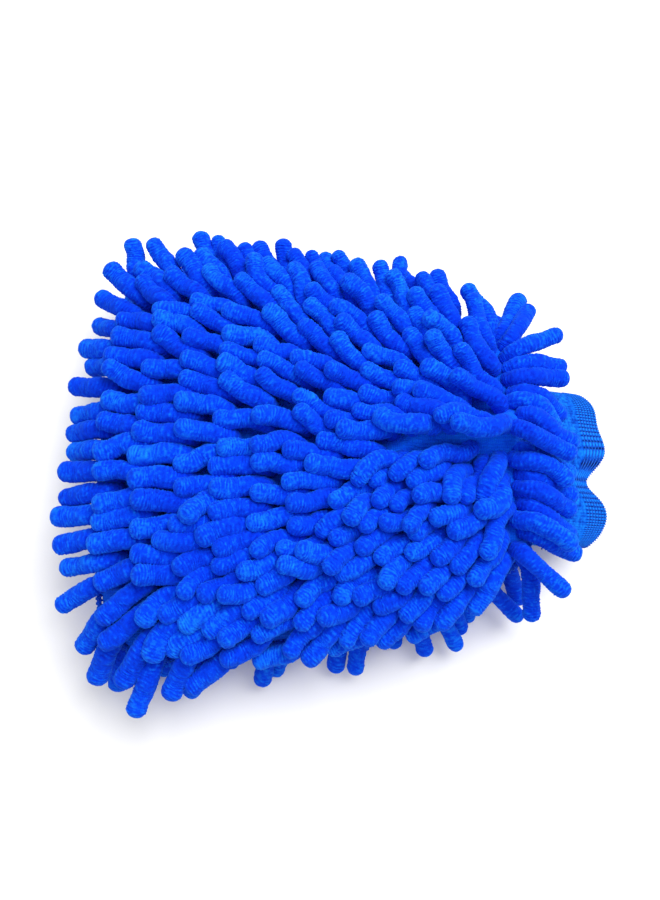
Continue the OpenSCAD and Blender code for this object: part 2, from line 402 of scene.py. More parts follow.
def chenille_material():
    """Fuzzy chenille: tone from the mesh's own ribs and tufts, with painted shade in the rib grooves and at
    the roots and painted light at the tips, and fine fibres over it.
    """
    mat, nt, bsdf = new_material("chenille", roughness=0.95, sheen=0.25, sheen_tint=(0.06, 0.5, 1.0, 1))
    bsdf.inputs["Sheen Roughness"].default_value = 0.5
    obj = object_coords(nt)
    tone_and_painted_shade = nt.nodes.new("ShaderNodeAttribute")
    tone_and_painted_shade.attribute_name = "tone_and_painted_shade"
    fine = noise(nt, obj, 1700.0, 2.0, 0.6)
    patch = noise(nt, obj, 45.0, 2.0, 0.5)
    tone = weighted(nt, (fine, 0.25), (patch, 0.15), (tone_and_painted_shade.outputs["Fac"], 0.7))
    # the dark stop takes the painted shade at the roots and in the rib grooves, the light one the painted
    # light at the tips
    stops = [(0.3, (0.0, 0.006, 0.42, 1)), (0.56, (0.0, 0.046, 0.72, 1)), (0.85, (0.008, 0.25, 0.95, 1))]
    nt.links.new(ramp(nt, tone, stops), bsdf.inputs["Base Color"])
    ribs = noise(nt, scaled(nt, uv_coords(nt), (4.0, 150.0, 1.0)), 1.0, 2.0, 0.5)
    grain = noise(nt, obj, 1800.0, 2.0, 0.6)
    bump(nt, bsdf, weighted(nt, (ribs, 0.6), (grain, 0.6)), 0.7, 0.0005)
    return mat


def knit_material(name, base, light, wale=0.0011, sheen=0.35):
    """A fine knitted cloth: V-shaped stitches in columns."""
    mat, nt, bsdf = new_material(name, sheen=sheen)
    obj = object_coords(nt)
    place = split(nt, obj)
    f = 2 * math.pi / wale
    across = math_node(nt, "SINE", times(nt, place["Y"], f))
    vee = weighted(nt, (place["X"], f * 1.3), (math_node(nt, "ABSOLUTE", across), 1.6))
    along = math_node(nt, "SINE", vee)
    knit = plus(nt, times(nt, plus(nt, across, along), 0.25), 0.5)
    tone = weighted(nt, (knit, 0.25), (noise(nt, obj, 260.0, 3.0), 0.75))
    nt.links.new(ramp(nt, tone, [(0.2, base), (0.8, light)]), bsdf.inputs["Base Color"])
    bump(nt, bsdf, plus(nt, knit, noise(nt, obj, 900.0, 2.0, 0.6)), 0.6, 0.0004)
    return mat


def thread_material(name, base, light, twist=60.0):
    """Sewing thread, with its strands running round it."""
    mat, nt, bsdf = new_material(name, roughness=0.8, sheen=0.3)
    around = split(nt, uv_coords(nt))
    turns = weighted(nt, (around["X"], 12 * math.pi), (around["Y"], twist * 2 * math.pi))
    strands = math_node(nt, "SINE", turns)
    tone = plus(nt, weighted(nt, (strands, 0.2), (noise(nt, object_coords(nt), 500.0), 0.6)), 0.2)
    nt.links.new(ramp(nt, tone, [(0.2, base), (0.8, light)]), bsdf.inputs["Base Color"])
    bump(nt, bsdf, strands, 0.5, 0.0002)
    return mat


CHENILLE = chenille_material()
BACKING = knit_material("backing_knit", (0.0, 0.05, 0.7, 1), (0.002, 0.16, 0.95, 1), sheen=0.3)
LINING = knit_material("lining_knit", (0.005, 0.05, 0.4, 1), (0.02, 0.13, 0.65, 1), wale=0.0016)
THREAD = thread_material("seam_thread", (0.0, 0.035, 0.5, 1), (0.01, 0.13, 0.85, 1))
ELASTIC = thread_material("elastic_thread", (0.0, 0.06, 0.55, 1), (0.03, 0.2, 0.85, 1), twist=110.0)


# ------------------------------------------------------------------ noodles: where they are sewn on
KNOTS = 7               # points along a noodle's axis
RADIUS = 3.75           # of a noodle near the wrist
AXIS = 23.4             # length of a noodle between the centres of its round ends
SEG = AXIS / (KNOTS - 1)
PITCH = 8.9             # between noodles along a line
WRIST_PITCH, FIRST_PITCH = PITCH + 2.2, PITCH + 1.0
ROW_PITCH = 14.7        # between rows
FIRST_ROW = 15.0        # first row behind the wrist seam
LINE_MARGIN = 3.0       # bare backing at both ends of a line
LEAN_SOURCE = 12.0      # the pile fans out from a point this far outside the wrist seam
SIDE_TURN = 32.0        # further turn of the noodles at the side seams, in degrees
CORNER_TURN = 22.0      # and of those towards the corners at the finger end
STAND = 36.0            # how steeply the noodles stand, in degrees
GATHERED_ROWS = 8       # upper rows with a second line at the parting, on the belly and at the far edge


def surface_normal(s, a, side):
    along = bag_point(s + 0.5, a, side) - bag_point(s - 0.5, a, side)
    across = bag_point(s, a + 0.01, side) - bag_point(s, a - 0.01, side)
    return unit_rows(np.cross(along, across) * side)


def row_lines(row, side):
    """A row's lines of noodles: distance behind the wrist seam, and whether only part of the line is sewn."""
    if row == 0:
        return [(1.5, False), (4.5, False)] if side > 0 else [(3.5, False)]
    if side > 0 and row == 1:
        return [(9.0, False), (16.5, True), (23.0, False)]
    at = FIRST_ROW + ROW_PITCH * (row - 1) + (2 if row == 2 and side > 0 else 0)
    gathered = row <= GATHERED_ROWS if side > 0 else row < ROWS
    return [(at, False), (at + ROW_PITCH / 2, True)] if gathered else [(at, False)]


def partly_sewn(row, side, x, y, share, across):
    """Which noodles a partly sewn line keeps."""
    if side < 0:
        return np.abs(share) > 0.8
    two_of_three = np.arange(len(x)) % 3 != row % 3
    belly = (y < -34 + 30 * rise(x, -10, 70)) & (share > -0.86) & two_of_three
    parting = (np.abs(across) < 10) & (crest_share(x) > 0.35)
    far_edge = (share > 0.84) & (row > 1)
    return belly | parting | far_edge


# A lean is worked out as a heading, round from the finger end, and a lift off the level, which is up on the
# upper face and down on the lower. Both are in radians.
def wrist_lean(y, side, line):
    """Heading and lift of the noodles at the wrist, which fan out over or under the cuff."""
    fan = 28 * rise(y, 6, 22) + 20 * rise(y, 22, 34) - 28
    fan = fan + 45 * rise(y, 36, 45) ** 2 - 45 * rise(-y, 38, 46) ** 2      # those at its two ends stick out
    heading = np.pi - np.radians(fan)
    lift = np.radians(8 + 16 * line if side > 0 else 10)
    heading = heading + RNG.normal(0, 0.16, len(y))
    return heading, lift + RNG.normal(0, 0.1, len(y)) * (side > 0)


def outward_turn(share, s, edge):
    """How far noodles near the edges turn outwards, in degrees; share runs from -1 to 1 across the panel."""
    return edge * np.abs(share) ** 5 + CORNER_TURN * np.abs(share) ** 3 * rise(s, 110, 160)


def standing(share, s, across, flatten):
    """How steeply noodles stand, in degrees: more beyond the parting at the wrist, less near the edges."""
    return (STAND + 10 * np.exp(-(((s - 15) / 20) ** 2)) * (across > 0)) * (1 - flatten * share**4)


def bottom_lean(x, y, s, share, across):
    """Heading and lift of the lower pile, which turns out over the side seams and lies flatter there."""
    near_side = np.clip(-share, 0, 1) ** 3 * rise(x, -10, 60)
    heading = np.arctan2(across, SEAM_X + LEAN_SOURCE - x) - np.radians(60) * near_side
    heading = heading + np.radians(outward_turn(share, s, SIDE_TURN)) * np.sign(y)
    end = s / BAG_LENGTH
    return heading, np.radians(standing(share, s, across, 0.6) * (1 - 0.65 * end**9) + 15 * end**12)


def top_lean(x, y, s, share, across):
    """Heading and lift of the upper pile, which parts over the fold near the wrist."""
    # the fan, apart from the noodles below the parting, which all point down the belly
    near = np.exp(-((across / 14) ** 2)) * crest_share(x)
    below = rise(-across, 0, 6) * rise(x, -20, 30)
    slope = 0.5 + 0.35 * rise(x, 20, 70) + near * (0.65 * rise(x, 48, 78) - 0.2)
    heading = np.arctan2(across, SEAM_X + LEAN_SOURCE - x) * (1 - below) - slope * below
    # the edges: the far one turns out all along, the near one only towards the finger end
    edge = np.where(y > 0, SIDE_TURN * np.clip(s / 50, 0.1, 1), 30 * rise(s, 95, 145) ** 2 + 4)
    heading = heading + np.radians(outward_turn(share, s, edge)) * np.sign(y)
    heading = heading + np.where(across < 0, 0, 0.12) * near
    # the lift: flatter at the near edge, along the parting and, but for the far corner, at the finger end
    flatten = np.where(y > 0, 0.35 - 0.3 * rise(s, 60, 120), 0.6)
    droop = 1 - 0.85 * np.clip(share, 0, 1) ** 2
    end = s / BAG_LENGTH
    lift = standing(share, s, across, flatten) * (1 - 0.65 * droop * end**9) - 15 * droop * end**12
    lift = np.radians(lift) - np.radians(10) * below + np.radians(np.where(across < 0, -14, -22)) * near
    return heading, lift


def sewn_line(row, line, s, part_only, side):
    """Root, outward normal and lean, as a unit vector, of the noodles of one line."""
    a = np.linspace(0, np.pi, 500)
    run = np.linalg.norm(np.diff(bag_point(s, a, side, fold=False), axis=0), axis=1)
    arc = np.concatenate([[0], np.cumsum(run)])
    usable = arc[-1] - 2 * LINE_MARGIN
    pitch = {0: WRIST_PITCH, 1: FIRST_PITCH}.get(row, PITCH)
    count = int(usable / pitch)
    shifted = (row + line + (side < 0)) % 2     # every other line is staggered by half a pitch
    at = (np.arange(count) + (0.25 if shifted else 0.75)) / count
    share = 1 - 2 * at
    at = LINE_MARGIN + usable * at + RNG.normal(0, 0.5, count)
    angle = np.interp(at, arc, a)
    s_here = np.clip(s + RNG.normal(0, 0.8, count), 1.5, BAG_LENGTH - 3)
    p = bag_point(s_here, angle, side)
    n = surface_normal(s_here, angle, side)
    across = p[:, 1] - crest_y(p[:, 0])
    if part_only:
        keep = partly_sewn(row, side, p[:, 0], p[:, 1], share, across)
        p, n, share, across = p[keep], n[keep], share[keep], across[keep]
    x, y = p[:, 0].copy(), p[:, 1].copy()
    if row == 0:
        heading, lift = wrist_lean(y, side, line)
    elif side > 0:
        # roots on the very crest move to the side of it that they are on
        clear = 1.8 * crest_share(x)
        push = np.where(np.abs(across) < clear, np.sign(across) * clear - across, 0)
        p[:, 1] += push
        p[:, 2], _ = surface_z(p[:, 0], p[:, 1], 1)
        y = y if part_only else p[:, 1]         # a full line leans as its moved roots do
        heading, lift = top_lean(x, y, s, share, across + push)
    else:
        heading, lift = bottom_lean(x, y, s, share, across)
    heading = heading + RNG.normal(0, 0.11, len(p))
    lift = lift + RNG.normal(0, 0.09, len(p))
    level = np.cos(lift)
    lean = np.stack([-np.cos(heading) * level, np.sin(heading) * level, side * np.sin(lift)], -1)
    return p, n, lean


piles = [("top", i, f"top_noodles_{i}", 1) for i in range(1, ROWS + 1)]
piles += [("bottom", i, f"bottom_noodles_{i}", -1) for i in range(1, ROWS + 1)]
piles += [("wrist_top", 0, "wrist_noodles_top", 1), ("wrist_bottom", 0, "wrist_noodles_bottom", -1)]

sewn, owner = [], []
for index, (_, row, _, side) in enumerate(piles):
    for line, (s, part_only) in enumerate(row_lines(row, side)):
        sewn.append(sewn_line(row, line, s, part_only, side))
        owner += [index] * len(sewn[-1][0])
root, normal, lean = (np.concatenate(part) for part in zip(*sewn))
owner = np.array(owner)
side_of = np.array([side for _, _, _, side in piles])[owner]
wrist = np.array([row == 0 for _, row, _, _ in piles])[owner]
COUNT = len(root)


# ------------------------------------------------------------------ noodles: soft shapes
STEPS = 90              # of the relaxation
CORRECTIONS = 2         # in each step
LAST_PULL = 0.02        # how far a tip sinks in the last step
PULL = 0.20             # and how much further it sinks in the first one
ROOT_RISE = 0.4         # height of a root knot over the backing, as a share of the radius
BOW = 1.5               # how far a noodle's tip is bent aside at random
SEARCH_EVERY = 12       # steps between searches for noodles that are near each other
SEARCH_MARGIN = 4.5     # how far past touching a pair is still kept in mind
TOUCH = 2 * RADIUS * 0.93       # distance at which two axes touch: chenille gives a little
FLOOR_Z = RADIUS - 0.2
SKIN = RADIUS * 0.9     # how far an axis stays off the backing
CUFF_SKIN = RADIUS * 0.85
ABOVE_CUFF, BELOW_CUFF = 10.0, 9.0      # the cuff's knit, from its middle
FREE = np.arange(KNOTS) > 0             # a noodle's root knot stays put
BELLY_LOSS = 0.3        # share of their weight that the noodles below the parting lack, so that they stay up
BOTTOM_WEIGHT = 0.6     # weight of the noodles underneath, next to that of the others


def first_shape(t):
    """Noodles that rise off the backing, turn to their lean and bow a little at random.

    Also gives the places of their second knots before they bow. t runs from 0 to 1 along a noodle.
    """
    knots = np.zeros((COUNT, KNOTS, 3))
    knots[:, 0] = root + normal * ROOT_RISE * RADIUS
    across = root[:, 1] - crest_y(root[:, 0])
    on_crest = np.exp(-((across / 8) ** 2)) * crest_share(root[:, 0]) * (side_of > 0)
    width_here = half_width(np.clip(SEAM_X - root[:, 0], 0, BAG_LENGTH))
    under_edge = np.clip((np.abs(root[:, 1]) / width_here - 0.7) / 0.25, 0, 1) * (side_of < 0)
    for k in range(1, KNOTS):
        upright = 0.6 * max(0, 1 - (k - 1) / 2) * (1 - 0.7 * on_crest - 0.8 * under_edge)[:, None]
        knots[:, k] = knots[:, k - 1] + unit_rows(normal * upright + lean * (1 - upright)) * SEG
    second = knots[:, 1].copy()
    bend = RNG.normal(0, 1, (COUNT, 3))
    bend -= (bend * lean).sum(1, keepdims=True) * lean
    knots += bend[:, None] * (BOW * t * t)[None, :, None]
    return knots, second


def near_pairs(flat, who, fixed):
    """Pairs of knots of different noodles that may soon touch."""
    f32 = flat.astype(np.float32)
    sq = (f32**2).sum(1)
    chunk = 500
    found = []
    for c in range(0, len(f32), chunk):
        dist = sq[c : c + chunk, None] + sq[None] - 2 * f32[c : c + chunk] @ f32.T
        i, j = np.nonzero(dist < (TOUCH + SEARCH_MARGIN) ** 2)
        i = i + c
        keep = (j > i) & (who[i] != who[j]) & ~(fixed[i] & fixed[j])
        found.append(np.stack([i[keep], j[keep]]))
    return np.concatenate(found, 1)


def hold_length(knots):
    """Brings each segment back to its length; the root stays put."""
    for k in range(1, KNOTS):
        v = knots[:, k] - knots[:, k - 1]
        fix = v * (1 - SEG / np.linalg.norm(v, axis=1, keepdims=True))
        if k == 1:
            knots[:, k] -= fix
        else:
            knots[:, k] -= 0.5 * fix
            knots[:, k - 1] += 0.5 * fix


def resist_bending(knots, gap, least):
    """Pushes knots that are gap segments apart out to at least that many segments' length."""
    for k in range(gap, KNOTS):
        v = knots[:, k] - knots[:, k - gap]
        length = np.linalg.norm(v, axis=1, keepdims=True)
        fix = 0.5 * v * np.minimum(length - least * SEG, 0) / length
        knots[:, k] -= fix
        if k > gap:
            knots[:, k - gap] += fix


def push_apart(flat, pairs, fixed):
    """Moves knots that are too near each other apart."""
    i, j = pairs
    v = flat[j] - flat[i]
    length = np.maximum(np.linalg.norm(v, axis=1, keepdims=True), 1e-6)
    push = np.maximum(TOUCH - length, 0) * v / length * 0.4
    touching = (length < TOUCH).astype(float)
    move = np.zeros_like(flat)
    hits = np.zeros((len(flat), 1))
    np.add.at(move, j, push)
    np.add.at(move, i, -push)
    np.add.at(hits, j, touching)
    np.add.at(hits, i, touching)
    move /= np.maximum(hits, 1) ** 0.5
    move[fixed] = 0
    flat += move


def keep_out(knots):
    """Keeps the noodles above the ground and outside the bag and the cuff."""
    above, below = (side_of > 0)[:, None], (side_of < 0)[:, None]
    knots[:, 1:, 2] = np.maximum(knots[:, 1:, 2], FLOOR_Z)
    z, inside = surface_z(knots[..., 0], knots[..., 1], 1)
    lifted = np.maximum(knots[..., 2], z + SKIN)
    knots[..., 2] = np.where(inside & above & FREE[None], lifted, knots[..., 2])
    z, inside = surface_z(knots[..., 0], knots[..., 1], -1)
    lowered = np.maximum(np.minimum(knots[..., 2], z - SKIN), FLOOR_Z)
    knots[..., 2] = np.where(inside & below & FREE[None], lowered, knots[..., 2])
    out = knots[..., 0] - SEAM_X
    at_cuff = (np.abs(knots[..., 1]) < CUFF_W / 2 - 3) & (out > 0) & (out < CUFF_LENGTH - 2)
    level = HINGE_Z - out * math.tan(DROOP)
    lifted = np.maximum(knots[..., 2], level + ABOVE_CUFF + CUFF_SKIN)
    knots[..., 2] = np.where(at_cuff & above, lifted, knots[..., 2])
    lowered = np.minimum(knots[..., 2], np.maximum(level - BELOW_CUFF - CUFF_SKIN, FLOOR_Z))
    knots[..., 2] = np.where(at_cuff & below, lowered, knots[..., 2])


def relax():
    """Bends the noodles under their weight until they lie on each other, on the bag and on the ground."""
    t = np.linspace(0, 1, KNOTS)
    knots, second = first_shape(t)
    flat = knots.reshape(-1, 3)
    who = np.repeat(np.arange(COUNT), KNOTS)
    fixed = np.tile(~FREE, COUNT)
    belly = rise(crest_y(root[:, 0]) - root[:, 1], 8, 28) * (side_of > 0) * ~wrist
    weight = np.where(side_of > 0, 1.0 - BELLY_LOSS * belly, BOTTOM_WEIGHT)
    for step in range(STEPS):
        if step % SEARCH_EVERY == 0:
            pairs = near_pairs(flat, who, fixed)
        pull = PULL * (1 - step / STEPS) + LAST_PULL
        sag = pull * t[None, :, None] * weight[:, None, None]
        knots[:, 1:, 2:3] -= sag[:, 1:]
        for _ in range(CORRECTIONS):
            # the second knot goes back towards its first place, which keeps the way the noodle is sewn on
            knots[:, 1] += 0.5 * (second - knots[:, 1])
            hold_length(knots)
            resist_bending(knots, 2, 1.99)
            resist_bending(knots, 3, 2.93)
            push_apart(flat, pairs, fixed)
            keep_out(knots)
    return knots


def smooth_line(knots, stations):
    """Points and tangents along a smooth curve through each noodle's knots, straight past both ends."""
    a = stations / SEG
    k = np.clip(np.floor(a).astype(int), 0, KNOTS - 2)
    f = np.clip(a - k, 0, 1)[None, :, None]
    ext = np.concatenate([2 * knots[:, :1] - knots[:, 1:2], knots, 2 * knots[:, -1:] - knots[:, -2:-1]], 1)
    p0, p1, p2, p3 = ext[:, k], ext[:, k + 1], ext[:, k + 2], ext[:, k + 3]
    square, cube = 2 * p0 - 5 * p1 + 4 * p2 - p3, 3 * p1 - p0 - 3 * p2 + p3
    pos = 0.5 * (2 * p1 + (p2 - p0) * f + square * f**2 + cube * f**3)
    tan = 0.5 * ((p2 - p0) + 2 * square * f + 3 * cube * f**2)
    tan /= np.linalg.norm(tan, axis=-1, keepdims=True)
    out = np.where(stations < 0, stations, np.where(stations > AXIS, stations - AXIS, 0))[None, :, None]
    return pos + tan * out, tan


def carried_along(tan):
    """Two directions square to each noodle's tangents, carried along it without a twist."""
    across = [unit_rows(np.cross(tan[:, 0], [0.3, 0.2, 1.0]))]
    for i in range(1, tan.shape[1]):
        across.append(unit_rows(across[-1] - (across[-1] * tan[:, i]).sum(1, keepdims=True) * tan[:, i]))
    across = np.stack(across, 1)
    return across, np.cross(tan, across)


RIB_PITCH = 1.2         # of the ribs round a noodle
RIB_HEIGHT, TERRY_HEIGHT = 0.12, 0.5
FINGER_END_GAIN = 0.13  # how much thicker the noodles are at the finger end


def noodle_mesh(name, knots, seed, around, along):
    """Chenille noodles: round-ended rods with fine broken ribs across them and a terry surface."""
    rng = np.random.RandomState(seed)
    n = len(knots)
    u = np.linspace(0, 1, along)
    a = -RADIUS + (AXIS + 2 * RADIUS) * (u - 0.03 * np.sin(2 * np.pi * u))
    a[0], a[-1] = -RADIUS, AXIS + RADIUS
    a_row = a[None, :, None]
    ang = np.linspace(0, 2 * np.pi, around, endpoint=False)
    cap = np.where(a < 0, -a, np.where(a > AXIS, a - AXIS, 0)) / RADIUS
    profile = (np.maximum(1 - cap**2.2, 0) ** 0.5)[None, :, None]

    # where each point of a straight noodle would be, moved at random so that no two share their noise
    rest = np.zeros((n, along, around, 3))
    rest[..., 0] = RADIUS * np.cos(ang)
    rest[..., 1] = RADIUS * np.sin(ang)
    rest[..., 2] = a_row
    rest += rng.rand(n, 1, 1, 3) * 200
    lump = value_noise(rest, 6.0, seed + 1) - 0.5
    tuft = value_noise(rest, 2.0, seed + 2) - 0.5
    terry = value_noise(rest, 0.75, seed + 3) - 0.5
    warp = value_noise(rest, 2.6, seed + 4)
    broken = np.clip(2.4 * value_noise(rest, 1.7, seed + 5) - 0.5, 0, 1.2)
    rib = np.sin(2 * np.pi * (a_row / RIB_PITCH + 1.3 * warp)) * broken

    to_finger_end = rise(20 - knots[:, 0, 0], 0, 90)[:, None, None]
    size = 1 + rng.normal(0, 0.04, (n, 1, 1)) + FINGER_END_GAIN * to_finger_end
    size = size * (1 + 0.035 * np.sin(a * 0.35 + rng.rand(n, 1) * 6.3))[:, :, None]
    rad = RADIUS * size * profile * (1 + 0.07 * lump + 0.06 * tuft)
    rad = rad + (TERRY_HEIGHT * terry + RIB_HEIGHT * rib * profile**2) * np.minimum(profile * 1.4, 1)

    pos, tan = smooth_line(knots, a)
    one, two = carried_along(tan)
    cos, sin = np.cos(ang)[None, None, :, None], np.sin(ang)[None, None, :, None]
    ring = one[:, :, None] * cos + two[:, :, None] * sin
    pts = pos[:, :, None] + ring * rad[..., None]
    pts[..., 2] = np.maximum(pts[..., 2], 0.0)
    # colour tone per point: lighter where terry and tufts stand out, a random tone for each noodle, painted
    # shade in the rib grooves and towards the roots between the noodles, painted light towards the tips
    tone_and_painted_shade = 0.42 + 0.1 * rib + 0.34 * terry + 0.1 * tuft + 0.14 * (np.clip(a_row / AXIS, 0, 1) - 0.6)
    tone_and_painted_shade = np.clip(tone_and_painted_shade + rng.rand(n, 1, 1) * 0.14, 0, 1)
    uv = np.zeros((n, along, around, 2))
    uv[..., 0] = ang / (2 * np.pi)
    uv[..., 1] = (a[:, None] + 10) * UV_PER_MM
    faces = grid_faces(along, around, True)[:, ::-1]
    faces = (faces[None] + (np.arange(n) * along * around)[:, None, None]).reshape(-1, 4)
    return make_mesh(name, pts, faces, uv.reshape(-1, 2), tone_and_painted_shade.reshape(-1))


def finish_piece(obj, material, nodes, body=None):
    """Gives a piece its material, hides the CAD nodes that it stands for and, if a body is given, attaches it
    to that body.
    """
    obj.data.materials.append(material)
    if nodes:
        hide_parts(*nodes)
    if body:
        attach(obj, body)
    return obj


def blend_over_fold(obj):
    """Bakes a piece's placement into its mesh; the piece is not bent with the cuff."""
    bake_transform(obj)


knots = relax()
for index, (kind, row, node_name, side) in enumerate(piles):
    label = f"{kind}_pile_row_{row:02d}" if row else f"{kind}_pile"
    around, along = (32, 100) if side > 0 else (18, 44)     # points: fewer underneath, where little is seen
    piece = noodle_mesh(label, knots[owner == index], 100 + 10 * index, around, along)
    over_cuff = kind == "wrist_top"
    finish_piece(piece, CHENILLE, [node_name], None if over_cuff else "mitt")
    if over_cuff:
        blend_over_fold(piece)


# ------------------------------------------------------------------ panels and linings
def bag_cloth(node_name, side, outer, inner, start, material, wobble):
    """A panel or lining as a closed sheet between two insets, and the area of its outer face."""
    u = 1 - (1 - np.linspace(0, 1, 90)) ** 1.5
    a = np.linspace(0, np.pi, 110)
    calm = np.sin(a)[None, :] * np.minimum(1, 6 * (1 - u))[:, None]
    layers = []
    for inset in (outer, inner):
        s = start + (BAG_LENGTH - inset - start) * u
        p = bag_point(s[:, None], a[None, :], side, inset)
        p[..., 2] += (value_noise(p, 16.0, 31) - 0.5) * wobble * calm
        layers.append(p)
    area = grid_area(layers[0])
    if side > 0:
        layers = [p[:, ::-1] for p in layers]
    obj = thick_sheet(node_name + "_cloth", *layers)
    return finish_piece(obj, material, [node_name], "mitt"), area


LINING_OUTER = PANEL_T + LINING_GAP
LINING_INNER = LINING_OUTER + LINING_T
for name, side in (("top_panel", 1), ("bottom_panel", -1)):
    bag_cloth(name, side, 0.0, PANEL_T, 0.0, BACKING, 1.0)
for name, side in (("top_lining", 1), ("bottom_lining", -1)):
    bag_cloth(name, side, LINING_OUTER, LINING_INNER, LINING_START, LINING, 0.6)


# ------------------------------------------------------------------ seams
SEAM_OUT = 1.4          # how far outside the bag's edge the side and wrist seams run
LINING_SEAM_INSET = 3.6
LINING_SEAM_START = 12  # behind the wrist seam
TURN_POINTS = 8         # points on each turn of a wound thread


def outline(start, inset):
    """The bag's edge: along one side, round the finger end and back along the other side."""
    last = BAG_LENGTH - inset
    s = start + (last - start) * (1 - (1 - np.linspace(0, 1, 90)) ** 1.8)
    one = bag_point(s, 0.0, 1, inset, fold=False)
    end = bag_point(last, np.linspace(0, np.pi, 60)[1:-1], 1, inset, fold=False)
    two = bag_point(s[::-1], np.pi, 1, inset, fold=False)
    return np.concatenate([one, end, two])


def resample(path, step, closed=False):
    """Points at even distances along a path."""
    if closed:
        path = np.concatenate([path, path[:1]])
    d = np.concatenate([[0], np.cumsum(np.linalg.norm(np.diff(path, axis=0), axis=1))])
    at = np.linspace(0, d[-1], int(d[-1] / step), endpoint=not closed)
    return np.stack([np.interp(at, d, path[:, k]) for k in range(3)], -1)


def overlock(name, path, r, pitch, closed=False):
    """Thread wound round a cloth edge."""
    p = resample(path, pitch / TURN_POINTS, closed)
    n = len(p)
    u, v = crosswise(unit_rows(np.gradient(p, axis=0)))
    ang = np.arange(n) * 2 * np.pi / TURN_POINTS
    if closed:
        ang = np.arange(n) * 2 * np.pi * round(n / TURN_POINTS) / n
    coil = p + r * 0.78 * (np.cos(ang)[:, None] * u + np.sin(ang)[:, None] * v)
    return sweep(name, coil, r * 0.34, 6, closed)


seam_path = resample(outline(1, -SEAM_OUT), 1.2)
finish_piece(sweep("side_seam_core", seam_path, 1.0, 8), THREAD, ["side_seam"], "mitt")
finish_piece(overlock("side_seam_overlock", seam_path, 1.45, 2.0), THREAD, [], "mitt")

lining_path = resample(outline(LINING_SEAM_START, LINING_SEAM_INSET), 1.5)
lining_thread = sweep("lining_seam_thread", lining_path, 0.6, 8, lobes=3, lobe_depth=0.2, twist=3.0)
finish_piece(lining_thread, THREAD, ["lining_seam"], "mitt")

half_turn = np.linspace(0, np.pi, 90, endpoint=False)
top_half = bag_point(0.0, half_turn, 1, PANEL_T / 2, fold=False)
bottom_half = bag_point(0.0, np.pi - half_turn, -1, PANEL_T / 2, fold=False)
ring = resample(np.concatenate([top_half, bottom_half]) + [SEAM_OUT, 0, 0], 1.0, True)
wrist_core = sweep("wrist_seam_core", ring, 1.0, 8, closed=True)
finish_piece(wrist_core, THREAD, ["wrist_seam"], "mitt")
finish_piece(overlock("wrist_seam_overlock", ring, 1.35, 1.9, True), THREAD, [], "mitt")

# ------------------------------------------------------------------ cuff
CUFF_T = 1.3            # of its knit
CUFF_INSIDE = 6.0       # how far the cuff's knit reaches inside the wrist seam
CUFF_NARROWING = 0.11   # share of its width that the cuff loses
CUFF_SKEW = 6.0         # how far it is pulled to one side
NOTCH_DEPTH, NOTCH_Y, NOTCH_WIDTH = 8.5, -9.0, 8.5      # dent in its mouth
RIBS = 120              # knitted ribs round the cuff
RIB_STEPS = 6           # points for each rib, and for each of the elastic's rows
SHIRR_START = 29.2      # where its shirred end begins, out from the seam
SHIRR_PITCH = 1.55      # between its rows of elastic
ELASTIC_ROWS = 6


def cuff_frame(p):
    """From the cuff's own frame, X out along it from the middle of the wrist opening, to the mitt's."""
    c, s = math.cos(DROOP), math.sin(DROOP)
    x, y, z = p[..., 0], p[..., 1], p[..., 2]
    return np.stack([SEAM_X + x * c + z * s, y, HINGE_Z - x * s + z * c], -1)


def cuff_surface(x, v, inset=0.0):
    """Point of the cuff at distance x from the seam and share v round it, in its own frame."""
    x, v = np.broadcast_arrays(np.asarray(x, float), np.asarray(v, float))
    pulled = rise(x, 0, 14)
    pulled = pulled * pulled * (3 - 2 * pulled)
    tucked = np.clip(1 - x / 9, 0, 1) ** 2
    w, h = CUFF_W / 2 + 4.4 * tucked - inset, CUFF_H / 2 + 2.6 * tucked - inset
    a = 2 * np.pi * v
    y = w * np.sign(np.cos(a)) * np.abs(np.cos(a)) ** 0.55
    z = h * np.sign(np.sin(a)) * np.abs(np.sin(a)) ** 0.8
    mouth = np.clip(x / CUFF_LENGTH, 0, 1) ** 2
    z = z * (1 - 0.12 * mouth) + mouth * (1.5 * np.sin(y / 8.5 + 0.6) + 0.9 * np.sin(y / 4.1))
    notch = -NOTCH_DEPTH * np.exp(-(((y - NOTCH_Y) / NOTCH_WIDTH) ** 2))
    corners = -5.0 * rise(y, 27, 40) ** 2 - 10.0 * rise(-y, 24, 40) ** 2
    x = x + mouth * (notch + corners - 0.5)
    return np.stack([x, y * (1 - CUFF_NARROWING * pulled) - CUFF_SKEW * pulled, z], -1)


def cuff_puff(x, v):
    """How far the knit stands out between its grooves and, in the shirred end, between the elastic rows."""
    across = np.abs(np.sin(np.pi * RIBS * v)) ** 0.8
    along = np.abs(np.sin(np.pi * (x - SHIRR_START) / SHIRR_PITCH)) ** 0.8
    shirred = np.clip((x - SHIRR_START) / 1.2, 0, 1)
    return across * (0.12 + 0.55 * shirred * along) * np.clip(x / 8, 0, 1)


